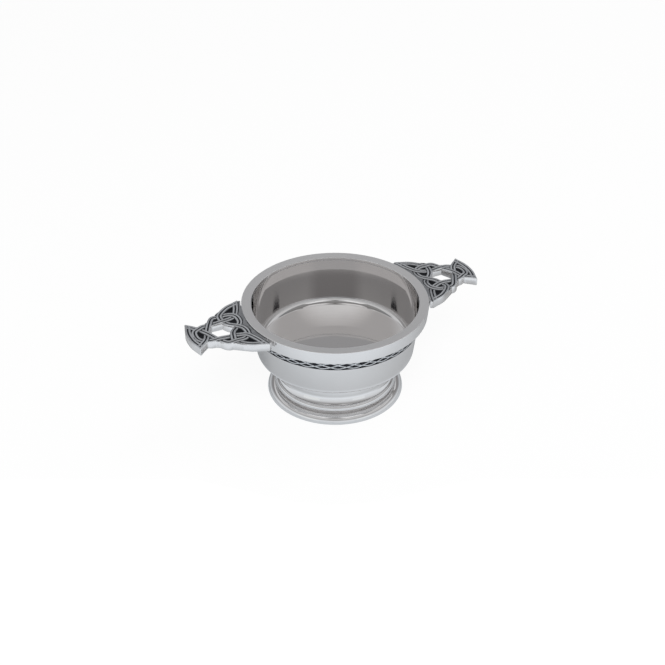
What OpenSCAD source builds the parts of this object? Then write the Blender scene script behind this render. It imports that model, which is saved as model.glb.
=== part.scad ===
// Quaich: a shallow two-handled drinking cup on a waisted foot, soldered together from turned and
// cast pieces. Millimetres. Z is up, the resting face is at z = 0, and the handles point along X.

/* [Bowl] */
// Diameter over the flat lip
rim_diameter = 89; // [80:0.5:104]
// Height from the resting face to the lip
overall_height = 49.4; // [45:0.2:64]
// Depth of the drinking space below the lip
bowl_depth = 24.2; // [18:0.2:27]
// Thickness of the bowl's wall
wall = 1.3; // [0.8:0.1:2]
// Lean of the wall away from upright, in degrees
wall_lean = 7.1; // [2:0.1:10]
// Inside radius of the corner between wall and floor
corner_radius = 3.2; // [1:0.1:5]
// Thickness of the bowl's floor
floor_thickness = 4.8; // [1.6:0.1:6]

/* [Rim collar] */
// Width of the flat lip
lip_width = 4.7; // [3.6:0.1:7]
// Fall of the lip from its outer to its inner edge
lip_fall = 0.25; // [0.1:0.05:0.6]
// Height of the collar's outer side
collar_height = 6.7; // [5.4:0.1:9]
// Amount by which the collar's side draws in towards its lower edge
collar_draft = 0.7; // [0.2:0.1:1.4]
// Depth of the rebate that holds the bowl's upper edge
rebate_depth = 1.5; // [1.2:0.1:2.4]
// Bevel on the collar's lower edge
collar_bevel = 0.4; // [0.2:0.05:0.8]
// Bevel on the lip's outer edge
lip_bevel = 0.12; // [0.05:0.01:0.3]

/* [Knot band] */
// Height of the patterned strip under the collar
band_height = 5.4; // [4:0.1:6.4]
// Thickness of the patterned strip
band_thickness = 0.55; // [0.45:0.05:1]
// Gap between the collar and the strip
band_gap = 0.2; // [0.1:0.05:0.6]
// Number of repeats of the plait round the strip
band_repeats = 35; // [28:1:42]
// Width of one strand of the plait
band_strand = 0.8; // [0.6:0.05:0.9]
// Depth of the pattern's recesses
band_relief = 0.3; // [0.15:0.05:0.4]

/* [Foot] */
// Diameter over the rounded edge of the base ring
base_diameter = 66.2; // [60:0.2:72]
// Height of the base ring
ring_height = 4; // [3:0.1:4.5]
// Share of the base ring's height that its rounded edge takes
ring_round = 0.85; // [0.4:0.01:0.9]
// Width of the base ring outside the foot
ring_flange = 4.4; // [4:0.1:6]
// Distance that the foot's waist draws in behind its lower end
waist_inset = 2.4; // [1.2:0.1:4]
// Distance that the waist flares out at its top
waist_flare = 2.8; // [1:0.1:4]
// Thickness of the foot's wall
foot_wall = 1.4; // [0.9:0.1:2]
// Diameter of the rounded bead above the base ring
bead_thickness = 3.8; // [3.4:0.1:5]
// Distance that the bead stands out past the foot's lower end
bead_overhang = 1; // [0.4:0.1:1.6]
// Gap between the bead and the base ring
bead_gap = 0.25; // [0.1:0.05:0.6]
// Width of the foot's flange outside its waist
flange_width = 0.9; // [0.4:0.1:2]

/* [Handles] */
// Distance that each handle stands out past the lip
handle_reach = 29.2; // [20:0.2:40]
// Width across the two root corners of a handle
root_width = 39.2; // [32:0.2:46]
// Width across the two corners of the fan at a handle's end
fan_width = 20.8; // [17:0.2:24]
// Thickness of a handle
handle_thickness = 4.2; // [3:0.1:4.8]
// Drop from the lip to a handle's top face
handle_drop = 0.5; // [0.2:0.1:1]
// Width of one strand of the interlace
strand_width = 2.3; // [1.8:0.05:2.4]
// Depth of the recesses between the strands
recess_depth = 0.9; // [0.4:0.1:1.6]
// Slot between the collar's rim and the corners of a handle's root
root_slot = 0.5; // [0.3:0.05:0.8]
// Width of the line down the middle of each strand
line_width = 0.5; // [0.3:0.05:0.8]
// Depth of the line down the middle of each strand
line_depth = 0.35; // [0.2:0.05:0.6]

/* [Joints] */
// Thickness of the solder in each joint
solder_film = 0.15; // [0.1:0.05:0.3]

/* [Hidden] */
$fn = 288;
rim_r = rim_diameter / 2;
lip_in_r = rim_r - lip_width;
lean_run = tan(wall_lean);
wall_across = wall / cos(wall_lean);
lip_in_z = overall_height - lip_fall;
floor_z = overall_height - bowl_depth;
under_z = floor_z - floor_thickness;
rebate_z = overall_height - rebate_depth;
bowl_edge_z = rebate_z - solder_film;
collar_low_z = overall_height - collar_height;
bore_gap = solder_film / cos(wall_lean);
band_top_z = collar_low_z - band_gap;
band_low_z = band_top_z - band_height;
outer_corner_radius = corner_radius + wall;
base_r = base_diameter / 2;
edge_r = ring_height * ring_round;
ring_bevel = (ring_height - edge_r) / 2;
spigot_r = base_r - ring_flange;
neck_r = spigot_r - waist_inset;
ledge_z = ring_height / 2;
spigot_z = ledge_z + solder_film;
bead_r = bead_thickness / 2;
bead_x = spigot_r + bead_overhang - bead_r;
bead_z = ring_height + bead_gap + bead_r;
bead_start = -acos((spigot_r - bead_x) / bead_r);
bead_end = 80;
waist_low_z = bead_z + bead_r * sin(bead_end);
flange_top_z = under_z - solder_film;
flange_z = flange_top_z - foot_wall;
neck_share = 0.45;
neck_z = waist_low_z + neck_share * (flange_z - waist_low_z);
waist_rise = flange_z - neck_z;
waist_out = min(waist_flare, 0.8 * waist_rise);
waist_r = (waist_rise * waist_rise + waist_out * waist_out) / (2 * waist_out);
waist_x = neck_r + waist_r;
waist_in_r = waist_r + foot_wall;
bore_r = neck_r - foot_wall;
flange_in_r = waist_x - sqrt(waist_in_r * waist_in_r - waist_rise * waist_rise);
flange_r = neck_r + waist_out + flange_width;
root_half = root_width / 2;
fan_half = fan_width / 2;
strand_half = strand_width / 2;
tip_overlap = 0.3;
root_share = 0.8;
root_contact = root_half * root_share;
heel_r = rim_r + root_slot;
heel_share = 0.99;
heel_start = asin(root_contact / heel_r);
heel_end = asin(root_half * heel_share / heel_r);
fan_share = 0.9;
fan_inset = 1.8;
line_clearance = 0.35;
past = 1;
handle_top_z = overall_height - handle_drop;
handle_low_z = handle_top_z - handle_thickness;
steps = 6;

// Radius of the inside and the outside of the bowl's wall at a height
function wall_in(z) = lip_in_r - lean_run * (lip_in_z - z);
function wall_out(z) = wall_in(z) + wall_across;

// Radius of the collar's outer side at a height
function collar_side(z) = rim_r - collar_draft * (overall_height - z) / collar_height;

// Points on an arc in a profile
function arc(c, r, a, b, n) = [for (i = [0:n]) c + r * [cos(a + (b - a) * i / n), sin(a + (b - a) * i / n)]];

// A smooth line through points, where the first and last points only set the end directions
function blend(a, b, c, d, t) =
    0.5 * (2 * b + (c - a) * t + (2 * a - 5 * b + 4 * c - d) * t * t + (3 * b - a - 3 * c + d) * t * t * t);
function smooth(p) = concat(
    [for (i = [1:len(p) - 3]) for (j = [0:steps - 1]) blend(p[i - 1], p[i], p[i + 1], p[i + 2], j / steps)],
    [p[len(p) - 2]]);

// Parts of a line, a line turned about, and a line mirrored across the handle's middle
function part_of(p, i, j) = [for (k = [i * steps:j * steps - 1]) p[k]];
function turned(p) = [for (i = [len(p) - 1:-1:0]) p[i]];
function flip(q) = [q[0], -q[1]];
function mirrored(p) = [for (q = p) flip(q)];

// The outline of a strip of even width along a line
function unit(v) = v / norm(v);
function heading(p, i) = unit(p[min(i + 1, len(p) - 1)] - p[max(i - 1, 0)]);
function beside(p, i, h) = p[i] + h * [-heading(p, i)[1], heading(p, i)[0]];
function strip(p, h) = concat(
    [for (i = [0:len(p) - 1]) beside(p, i, h)],
    [for (i = [len(p) - 1:-1:0]) beside(p, i, -h)]);

// The outline of the sharp tip where two strands meet at a point
function tip(k, a, b) =
    let (da = unit(a - k), db = unit(b - k))
    let (out = -unit(da + db), half_sine = norm(da - db) / 2)
    let (na = [da[1], -da[0]], nb = [db[1], -db[0]])
    let (sa = na * out > 0 ? 1 : -1, sb = nb * out > 0 ? 1 : -1)
    let (left = k + sa * na * strand_half, right = k + sb * nb * strand_half)
    [k - tip_overlap * out, left, k + out * strand_half / half_sine, right];

// A place on the handle: a share of its reach, and a share of half its root width
function at(u, v) = [rim_r + u * handle_reach, v * root_half];

// Where the strands of the interlace run on the half with positive y
root_corner = at(-0.026, 0.93);
long_side = at(0.168, 0.816);
side_crossing = at(0.341, 0.561);
edge_crossing = at(0.331, 0.321);
inner_bend = at(0.277, 0.147);
heart_crossing = at(0.175, 0);
loop_start = at(0.105, 0.128);
loop_bulge = at(0.087, 0.286);
loop_crossing = at(0.115, 0.449);
loop_end = at(0.205, 0.546);
shoulder = at(0.469, 0.551);
neck_crossing = at(0.572, 0.321);
middle_crossing = at(0.682, 0);
fan_crossing = at(0.764, 0.25);
fan_corner = [rim_r + fan_share * handle_reach, fan_half - fan_inset];
root_side = at(0.031, 0.684);
edge_start = at(0.211, 0.362);
edge_middle = at(0.455, 0.319);
neck_edge = at(0.671, 0.318);
inner_arc_side = at(0.848, 0.168);
inner_arc_end = at(0.873, 0);
outer_arc_side = at(0.943, 0.215);
outer_arc_end = [rim_r + handle_reach - strand_half, 0];

// The strand from a root corner through the middle to the other side and the fan's corner
long_strand = smooth([
    2 * root_corner - long_side, root_corner, long_side, side_crossing, edge_crossing, inner_bend,
    heart_crossing, flip(loop_start), flip(loop_bulge), flip(loop_crossing), flip(loop_end),
    flip(side_crossing), flip(shoulder), flip(neck_crossing), middle_crossing, fan_crossing, fan_corner,
    2 * fan_corner - fan_crossing]);

// The strand round the opening, the neck and the inside of the fan, corner to corner
edge_half = [root_corner, root_side, loop_crossing, edge_start, edge_crossing, edge_middle, neck_crossing,
    neck_edge, fan_crossing, inner_arc_side];
edge_strand = smooth(concat(
    [2 * root_corner - root_side], edge_half, [inner_arc_end], turned(mirrored(edge_half)),
    [flip(2 * root_corner - root_side)]));

// The strand round the outside of the fan, corner to corner
fan_strand = smooth([
    2 * fan_corner - outer_arc_side, fan_corner, outer_arc_side, outer_arc_end, flip(outer_arc_side),
    flip(fan_corner), flip(2 * fan_corner - outer_arc_side)]);

// The edge of the plate that carries the strands and fills the notches between their bends, and the
// edge of its opening
root_tip = at(-0.086, 1.018);
web_root = at(0.22, 0.845);
web_side = at(0.342, 0.715);
web_shoulder = at(0.44, 0.605);
web_neck = at(0.59, 0.435);
web_fan = at(0.7, 0.345);
plate_half = concat(
    [[lip_in_r, root_contact]],
    arc([0, 0], heel_r, heel_start, heel_end, steps),
    [root_tip],
    part_of(long_strand, 0, 1),
    [web_root, web_side, web_shoulder, web_neck, web_fan],
    part_of(long_strand, 14, 15),
    part_of(fan_strand, 0, 2));
plate_edge = concat(plate_half, [outer_arc_end], turned(mirrored(plate_half)));
opening_half = concat(
    turned(part_of(long_strand, 3, 5)),
    part_of(edge_strand, 4, 6),
    part_of(mirrored(long_strand), 12, 13));
opening_edge = concat([heart_crossing], opening_half, [middle_crossing], turned(mirrored(opening_half)));

// Stretches of a strand between the crossings where it dips under another one
line_gap = strand_half + line_clearance;
function stretch(p, i, j, stops) = [for (q = part_of(p, i, j))
    if (min([for (s = stops) norm(q - s)]) > line_gap) q];
lines_long = [
    stretch(long_strand, 0, 2, [side_crossing]),
    stretch(long_strand, 2, 5, [side_crossing, heart_crossing]),
    stretch(long_strand, 5, 10, [heart_crossing, flip(side_crossing)]),
    stretch(long_strand, 10, 13, [flip(side_crossing), middle_crossing]),
    stretch(long_strand, 13, 15, [middle_crossing])];
lines_far = [
    stretch(mirrored(long_strand), 0, 3, [flip(edge_crossing)]),
    stretch(mirrored(long_strand), 3, 8, [flip(edge_crossing), loop_crossing]),
    stretch(mirrored(long_strand), 8, 12, [loop_crossing, neck_crossing]),
    stretch(mirrored(long_strand), 12, 14, [neck_crossing, flip(fan_crossing)]),
    stretch(mirrored(long_strand), 14, 15, [flip(fan_crossing)])];
lines_edge = [
    stretch(edge_strand, 0, 4, [edge_crossing]),
    stretch(edge_strand, 4, 8, [edge_crossing, fan_crossing]),
    stretch(edge_strand, 8, 14, [fan_crossing, flip(neck_crossing)]),
    stretch(edge_strand, 14, 18, [flip(neck_crossing), flip(loop_crossing)]),
    stretch(edge_strand, 18, 20, [flip(loop_crossing)])];
strand_lines = concat(lines_long, lines_far, lines_edge, [part_of(fan_strand, 0, 4)]);

// The plait on the band: four strands in even zigzags, and the outlines of the recesses between them
band_margin = 0.15;
band_mid_z = (band_top_z + band_low_z) / 2;
band_mid_r = wall_out(band_mid_z) + (solder_film + band_thickness) / cos(wall_lean);
band_turn = 360 / band_repeats;
band_pitch = 2 * PI * band_mid_r / band_repeats;
band_rise = band_height / 2 - band_strand / 2 - band_margin;
band_slope = band_rise / band_pitch;
band_half = band_strand / 2 / cos(atan(band_slope));
eye_high = band_rise / 2 - band_half;
eye_long = band_pitch / 2 - band_half / band_slope;
eye = [[eye_high, 0], [0, eye_long], [-eye_high, 0], [0, -eye_long]];
notch_share = 0.42;
notch_long = band_pitch * notch_share;
notch_top = band_rise / 2 + band_half;
notch_side = notch_top + band_slope * notch_long;
notch_low = band_height / 2 - band_margin;
notch = [[notch_top, 0], [notch_side, notch_long], [notch_low, notch_long], [notch_low, -notch_long],
    [notch_side, -notch_long]];

// Turned bowl: thick flat floor, rounded corner, thin leaning wall, upper edge flat for the rebate
module bowl() {
    in_z = floor_z + corner_radius;
    in_x = wall_in(in_z) - corner_radius / cos(wall_lean);
    out_z = under_z + outer_corner_radius;
    out_x = wall_out(out_z) - outer_corner_radius / cos(wall_lean);
    color("silver")
        rotate_extrude()
            polygon(concat(
                [[0, under_z]],
                arc([out_x, out_z], outer_corner_radius, -90, -wall_lean, 10),
                [[wall_out(bowl_edge_z), bowl_edge_z], [wall_in(bowl_edge_z), bowl_edge_z]],
                arc([in_x, in_z], corner_radius, -wall_lean, -90, 10),
                [[0, floor_z]]));
}

// Turned collar: flat lip, drawn-in side, bore that follows the bowl's wall, rebate at the top
module rim_collar() {
    color("gainsboro")
        rotate_extrude()
            polygon([
                [wall_in(rebate_z), rebate_z],
                [lip_in_r, lip_in_z],
                [rim_r - lip_bevel, overall_height],
                [rim_r, overall_height - lip_bevel],
                [collar_side(collar_low_z + collar_bevel), collar_low_z + collar_bevel],
                [collar_side(collar_low_z) - collar_bevel, collar_low_z],
                [wall_out(collar_low_z) + bore_gap, collar_low_z],
                [wall_out(rebate_z) + bore_gap, rebate_z]]);
}

// Film of solder in the collar's rebate and bore
module collar_solder() {
    color("darkgray")
        rotate_extrude()
            polygon([
                [wall_in(bowl_edge_z), bowl_edge_z],
                [wall_out(bowl_edge_z), bowl_edge_z],
                [wall_out(collar_low_z), collar_low_z],
                [wall_out(collar_low_z) + bore_gap, collar_low_z],
                [wall_out(rebate_z) + bore_gap, rebate_z],
                [wall_in(rebate_z), rebate_z]]);
}

// Ring that follows the bowl's wall, from one distance off it to another
module wall_ring(near, far) {
    a = near / cos(wall_lean);
    b = far / cos(wall_lean);
    rotate_extrude()
        polygon([
            [wall_out(band_low_z) + a, band_low_z],
            [wall_out(band_low_z) + b, band_low_z],
            [wall_out(band_top_z) + b, band_top_z],
            [wall_out(band_top_z) + a, band_top_z]]);
}

// Patterned strip bent into a hoop: a plait of four strands with recesses between them
module knot_band() {
    color("lightgray")
        difference() {
            wall_ring(solder_film, solder_film + band_thickness);
            for (i = [0:band_repeats - 1]) {
                band_recess(i * band_turn, band_rise / 2, eye);
                band_recess(i * band_turn, -band_rise / 2, eye);
                band_recess((i + 0.5) * band_turn, 0, eye);
                band_recess((i + 0.5) * band_turn, 0, notch);
                band_recess((i + 0.5) * band_turn, 0, -notch);
            }
        }
}

// One recess of the band: its place round the strip, how far it lies below the middle, its outline
module band_recess(turn, below, outline) {
    rotate([0, 0, turn])
        translate([band_mid_r, 0, band_mid_z])
            rotate([0, 90 + wall_lean, 0])
                translate([below, 0, -band_relief])
                    linear_extrude(height = band_relief + past)
                        polygon(outline);
}

// Film of solder behind the band
module band_solder() {
    color("darkgray")
        wall_ring(0, solder_film);
}

// Turned foot: spigot that sits in the base ring, bead, concave waist and flat flange, bored through
module foot() {
    low_reach = asin((neck_z - waist_low_z) / waist_r);
    high_reach = asin(waist_rise / waist_r);
    in_reach = asin(waist_rise / waist_in_r);
    color("silver")
        rotate_extrude()
            polygon(concat(
                [[bore_r, spigot_z], [spigot_r, spigot_z]],
                arc([bead_x, bead_z], bead_r, bead_start, bead_end, 16),
                arc([waist_x, neck_z], waist_r, 180 + low_reach, 180 - high_reach, 24),
                [[flange_r, flange_z], [flange_r, flange_top_z]],
                [[flange_in_r, flange_top_z], [flange_in_r, flange_z]],
                arc([waist_x, neck_z], waist_in_r, 180 - in_reach, 180, 16)));
}

// Film of solder between the foot's flange and the bowl
module foot_solder() {
    color("darkgray")
        translate([0, 0, flange_top_z])
            difference() {
                cylinder(h = solder_film, r = flange_r);
                translate([0, 0, -past])
                    cylinder(h = solder_film + 2 * past, r = flange_in_r);
            }
}

// Turned base ring: flat underside, bevelled and rounded edge, rebate for the foot's spigot
module base_ring() {
    seat_r = spigot_r + solder_film;
    color("gainsboro")
        rotate_extrude()
            polygon(concat(
                [[bore_r, 0], [base_r - ring_bevel, 0], [base_r, ring_bevel]],
                arc([base_r - edge_r, ring_height - edge_r], edge_r, 0, 90, 16),
                [[seat_r, ring_height], [seat_r, ledge_z], [bore_r, ledge_z]]));
}

// Film of solder in the base ring's rebate
module ring_solder() {
    color("darkgray")
        rotate_extrude()
            polygon([
                [bore_r, ledge_z],
                [spigot_r + solder_film, ledge_z],
                [spigot_r + solder_film, ring_height],
                [spigot_r, ring_height],
                [spigot_r, spigot_z],
                [bore_r, spigot_z]]);
}

// Cone that follows the collar's side at a distance, tall enough to pass a handle
module collar_cone(off) {
    low_z = handle_low_z - past;
    high_z = handle_top_z + past;
    translate([0, 0, low_z])
        cylinder(h = high_z - low_z, r1 = collar_side(low_z) + off, r2 = collar_side(high_z) + off);
}

// Cast handle pointing along X: plate with an opening, raised strands, a line down each strand
module handle() {
    difference() {
        translate([0, 0, handle_low_z])
            union() {
                linear_extrude(height = handle_thickness - recess_depth)
                    polygon(
                        concat(plate_edge, opening_edge),
                        [[for (i = [0:len(plate_edge) - 1]) i],
                            [for (i = [0:len(opening_edge) - 1]) len(plate_edge) + i]]);
                linear_extrude(height = handle_thickness)
                    polygon(strip(long_strand, strand_half));
                linear_extrude(height = handle_thickness)
                    polygon(strip(mirrored(long_strand), strand_half));
                linear_extrude(height = handle_thickness)
                    polygon(strip(edge_strand, strand_half));
                linear_extrude(height = handle_thickness)
                    polygon(strip(fan_strand, strand_half));
                linear_extrude(height = handle_thickness)
                    polygon(tip(root_corner, long_side, root_side));
                linear_extrude(height = handle_thickness)
                    polygon(tip(flip(root_corner), flip(long_side), flip(root_side)));
                linear_extrude(height = handle_thickness)
                    polygon(tip(fan_corner, fan_crossing, outer_arc_side));
                linear_extrude(height = handle_thickness)
                    polygon(tip(flip(fan_corner), flip(fan_crossing), flip(outer_arc_side)));
            }
        for (line = strand_lines)
            translate([0, 0, handle_top_z - line_depth])
                linear_extrude(height = line_depth + past)
                    polygon(strip(line, line_width / 2));
        collar_cone(solder_film);
    }
}

// Film of solder between a handle's root and the collar's side
module handle_film() {
    color("darkgray")
        difference() {
            intersection() {
                collar_cone(solder_film);
                translate([0, -root_contact, handle_low_z])
                    cube([rim_diameter, 2 * root_contact, handle_thickness - recess_depth]);
            }
            collar_cone(0);
        }
}

// Handle on the side of positive X
module right_handle() {
    color("silver")
        handle();
}

// The same casting turned half round
module left_handle() {
    color("silver")
        rotate([0, 0, 180])
            handle();
}

// Solder of the handle on the side of positive X
module right_handle_solder() {
    handle_film();
}

// The same film turned half round
module left_handle_solder() {
    rotate([0, 0, 180])
        handle_film();
}

bowl();
rim_collar();
knot_band();
foot();
base_ring();
left_handle();
right_handle();
collar_solder();
band_solder();
foot_solder();
ring_solder();
left_handle_solder();
right_handle_solder();
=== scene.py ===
"""A quaich of polished pewter: a turned bowl, collar, foot and base ring, a plaited band and two
cast handles of knotwork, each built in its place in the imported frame, in a plain studio."""

import math
from types import SimpleNamespace

import bmesh
import bpy
import numpy as np
from bpy.props import FloatProperty, FloatVectorProperty, IntProperty, PointerProperty
from mathutils import Euler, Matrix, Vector


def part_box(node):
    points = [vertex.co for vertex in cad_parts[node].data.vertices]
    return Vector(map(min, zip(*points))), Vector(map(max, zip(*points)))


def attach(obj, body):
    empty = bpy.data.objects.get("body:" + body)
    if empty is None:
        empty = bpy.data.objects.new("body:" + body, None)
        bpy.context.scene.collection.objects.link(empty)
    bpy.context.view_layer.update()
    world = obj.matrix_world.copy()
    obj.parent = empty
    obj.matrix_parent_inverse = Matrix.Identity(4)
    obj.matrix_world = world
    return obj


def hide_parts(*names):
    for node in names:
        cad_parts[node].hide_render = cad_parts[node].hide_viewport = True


bl_info = {
    "name": "Quaich",
    "version": (1, 0, 0),
    "blender": (4, 5, 0),
    "location": "View3D > Sidebar > Quaich",
    "description": "Builds a two-handled cup of polished pewter with knotwork handles",
    "category": "Add Mesh",
}

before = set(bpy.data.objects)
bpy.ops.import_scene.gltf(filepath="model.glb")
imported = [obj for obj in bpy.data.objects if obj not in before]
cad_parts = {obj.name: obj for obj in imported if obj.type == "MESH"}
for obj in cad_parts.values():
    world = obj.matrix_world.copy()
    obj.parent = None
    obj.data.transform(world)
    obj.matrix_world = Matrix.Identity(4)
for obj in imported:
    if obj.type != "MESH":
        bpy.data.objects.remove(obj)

MM = 0.001
PICTURE_SIDE = 665


def linear(code):
    """Linear colour of an sRGB hex value."""
    parts = [int(code[i:i + 2], 16) / 255 for i in (1, 3, 5)]
    return tuple(p / 12.92 if p <= 0.04045 else ((p + 0.055) / 1.055) ** 2.4 for p in parts)


def length(name, description, default):
    """A length that a user may change, in metres."""
    return FloatProperty(name=name, description=description, default=default, min=0,
                         subtype="DISTANCE", unit="LENGTH", precision=5)


def colour(name, description, code):
    """A colour that a user may change."""
    return FloatVectorProperty(name=name, description=description, default=linear(code),
                               min=0, max=1, size=3, subtype="COLOR")


COLLAR_LOW, COLLAR_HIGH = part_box("rim_collar")
BOWL_LOW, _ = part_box("bowl")
BAND_LOW, BAND_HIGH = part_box("knot_band")
RING_LOW, RING_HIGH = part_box("base_ring")
_, SEAT_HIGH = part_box("foot_solder")
HANDLE_LOW, HANDLE_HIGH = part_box("right_handle")


class QuaichSizes(bpy.types.PropertyGroup):
    """Sizes of the pieces. The outer ones come from the frame."""

    rim_radius: length("Rim radius", "From the axis to the lip's outer edge", COLLAR_HIGH.x)
    height: length("Height", "From the table to the lip", COLLAR_HIGH.z)
    lip_width: length("Lip width", "Width of the flat lip", 4.7 * MM)
    lip_fall: length("Lip fall", "Fall of the lip towards the bowl", 0.25 * MM)
    collar_height: length("Collar height", "Height of the collar's side", COLLAR_HIGH.z - COLLAR_LOW.z)
    collar_draft: length("Collar draft", "How far the collar's side draws in", 0.7 * MM)
    rebate: length("Rebate", "Depth of the step that holds the bowl's edge", 1.5 * MM)
    film: length("Solder film", "Thickness of the solder in the joints", 0.15 * MM)
    wall: length("Wall", "Thickness of the bowl's wall", 1.3 * MM)
    floor: length("Floor", "Thickness of the bowl's floor", 4.8 * MM)
    wall_lean: FloatProperty(name="Wall lean", description="Lean of the bowl's wall from upright",
                             default=math.radians(7.1), subtype="ANGLE", unit="ROTATION")
    bore_lean: FloatProperty(name="Bore lean", description="Lean of the bowl's inside behind the collar",
                             default=math.radians(4.6), subtype="ANGLE", unit="ROTATION")
    bowl_under: length("Bowl underside", "Height of the bowl's underside", BOWL_LOW.z)
    corner: length("Corner radius", "Inside radius between the bowl's wall and floor", 3.2 * MM)
    band_low: length("Band low edge", "Height of the band's lower edge", BAND_LOW.z)
    band_high: length("Band high edge", "Height of the band's upper edge", BAND_HIGH.z)
    band_thickness: length("Band thickness", "Thickness of the patterned strip", 0.55 * MM)
    band_repeats: IntProperty(name="Band repeats", description="Repeats of the plait round the cup",
                              default=35, min=12, max=80)
    band_strand: length("Band strand", "Width of one strand of the plait", 0.62 * MM)
    band_relief: length("Band relief", "Depth of the ground between the strands", 0.3 * MM)
    base_radius: length("Base radius", "From the axis to the edge of the base ring", RING_HIGH.x)
    ring_height: length("Ring height", "Height of the base ring", RING_HIGH.z - RING_LOW.z)
    ring_round: length("Ring round", "Radius of the base ring's rounded edge", 3.4 * MM)
    spigot_radius: length("Spigot radius", "Radius of the foot where it sits in the ring", 28.7 * MM)
    neck_radius: length("Neck radius", "Smallest radius of the foot's waist", 26.3 * MM)
    waist_flare: length("Waist flare", "How far the waist flares out at its top", 2.8 * MM)
    foot_wall: length("Foot wall", "Thickness of the foot's waist", 1.4 * MM)
    bead: length("Bead", "Radius of the bead over the base ring", 1.9 * MM)
    bead_overhang: length("Bead overhang", "How far the bead stands out past the spigot", 1 * MM)
    bead_gap: length("Bead gap", "Gap between the bead and the base ring", 0.25 * MM)
    flange_radius: length("Flange radius", "Radius of the foot's flange", SEAT_HIGH.x)
    handle_high: length("Handle top", "Height of a handle's top face", HANDLE_HIGH.z)
    handle_low: length("Handle underside", "Height of a handle's underside", HANDLE_LOW.z)
    handle_reach: length("Handle reach", "How far a handle stands out", HANDLE_HIGH.x - COLLAR_HIGH.x)
    root_width: length("Root width", "Width across a handle's root corners", 39.2 * MM)
    root_slot: length("Root slot", "Slot between the rim and a root corner", 0.5 * MM)
    fan_width: length("Fan width", "Width across a handle's fan", 20.8 * MM)
    strand: length("Strand", "Width of one strand of the knotwork", 2.65 * MM)
    recess: length("Recess", "Depth of the ground between the strands", 0.9 * MM)
    groove: length("Groove", "Width of the line down each strand", 0.5 * MM)
    step: length("Mesh step", "Spacing of the mesh on the knotwork", 0.12 * MM)


class QuaichColours(bpy.types.PropertyGroup):
    """Colours of the metal and the studio."""

    pewter: colour("Pewter", "Polished pewter", "#E3E1E0")
    haze: colour("Haze", "Pewter where the buff has left a haze", "#DDDBDA")
    satin: colour("Satin", "Pewter on the crests of the strands", "#C8C9CB")
    oxide: colour("Oxide", "Blackened pewter in the recesses", "#1B1C1F")
    bloom: colour("Bloom", "Thin oxide on the flanks of the recesses", "#3C3D42")
    solder: colour("Solder", "Soft solder in the joints", "#B4B5B9")
    paper: colour("Paper", "Paper on the table", "#F4F4F4")


def add_node(tree, kind, inputs=None, **settings):
    """Adds a node with its settings. An input takes a value or the output of another node."""
    made = tree.nodes.new(kind)
    for name, value in settings.items():
        setattr(made, name, value)
    for key, value in (inputs or {}).items():
        if isinstance(value, bpy.types.NodeSocket):
            tree.links.new(value, made.inputs[key])
        else:
            made.inputs[key].default_value = value
    return made


def start_material(name):
    """An empty material and its node tree."""
    material = bpy.data.materials.new(name)
    material.use_nodes = True
    material.node_tree.nodes.clear()
    return material, material.node_tree


def opaque(rgb):
    """A colour as a socket takes it."""
    return (*rgb, 1)


def noise(tree, place, size_mm, detail, rough, **settings):
    """Output of a noise whose marks have a size in millimetres."""
    return add_node(tree, "ShaderNodeTexNoise", {
        "Vector": place, "Scale": 1 / (size_mm * MM), "Detail": detail, "Roughness": rough},
        **settings).outputs["Fac"]


def blend(tree, share, first, second):
    """Output of a mix of two colours."""
    mixed = add_node(tree, "ShaderNodeMix", {"Factor": share, 6: first, 7: second}, data_type="RGBA")
    return mixed.outputs[2]


def bare_metal(tree, tone, rough, bump):
    """Ends a material as bare metal with a tone, a roughness and a bump."""
    metal = add_node(tree, "ShaderNodeBsdfPrincipled", {
        "Base Color": tone, "Metallic": 1, "Roughness": rough.outputs[0], "Normal": bump.outputs[0]})
    add_node(tree, "ShaderNodeOutputMaterial", {"Surface": metal.outputs[0]})


def buffing(tree, ring_mm, patch_mm):
    """Outputs of two patterns that a lathe and a buff leave: rings about the axis, and patches of haze."""
    place = add_node(tree, "ShaderNodeTexCoord").outputs["Object"]
    flat = add_node(tree, "ShaderNodeVectorMath", {0: place, 1: (1, 1, 0)}, operation="MULTIPLY")
    radius = add_node(tree, "ShaderNodeVectorMath", {0: flat.outputs[0]}, operation="LENGTH")
    height = add_node(tree, "ShaderNodeSeparateXYZ", {0: place})
    section = add_node(tree, "ShaderNodeCombineXYZ", {0: radius.outputs["Value"], 1: height.outputs[2]})
    rings = noise(tree, section.outputs[0], ring_mm, 3, 0.6, noise_dimensions="2D")
    return rings, noise(tree, place, patch_mm, 4, 0.55)


def polished_pewter(colours):
    """Polished pewter, turned on a lathe and then buffed.

    To the eye it is a soft bright mirror, a little warm, with faint rings and a haze in patches. Where
    the attribute "wear" is 1, use has dulled the mirror to a satin.
    """
    worn_rough = 0.32
    material, tree = start_material("polished_pewter_buffed")
    wear = add_node(tree, "ShaderNodeAttribute", attribute_name="wear").outputs["Fac"]
    # The rings of a buff are about 0.05 mm apart. They are drawn at 0.4 mm, so that they show.
    rings, patches = buffing(tree, ring_mm=0.4, patch_mm=14)
    tone = blend(tree, patches, opaque(colours.pewter), opaque(colours.haze))
    clean = add_node(tree, "ShaderNodeMapRange", {
        "Value": patches, "From Min": 0.3, "From Max": 0.7, "To Min": 0.03, "To Max": 0.06})
    rough = add_node(tree, "ShaderNodeMath", {
        0: wear, 1: worn_rough, 2: clean.outputs[0]}, operation="MULTIPLY_ADD")
    bump = add_node(tree, "ShaderNodeBump", {"Height": rings, "Strength": 0.02, "Distance": 0.1 * MM})
    bare_metal(tree, tone, rough, bump)
    return material


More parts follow.
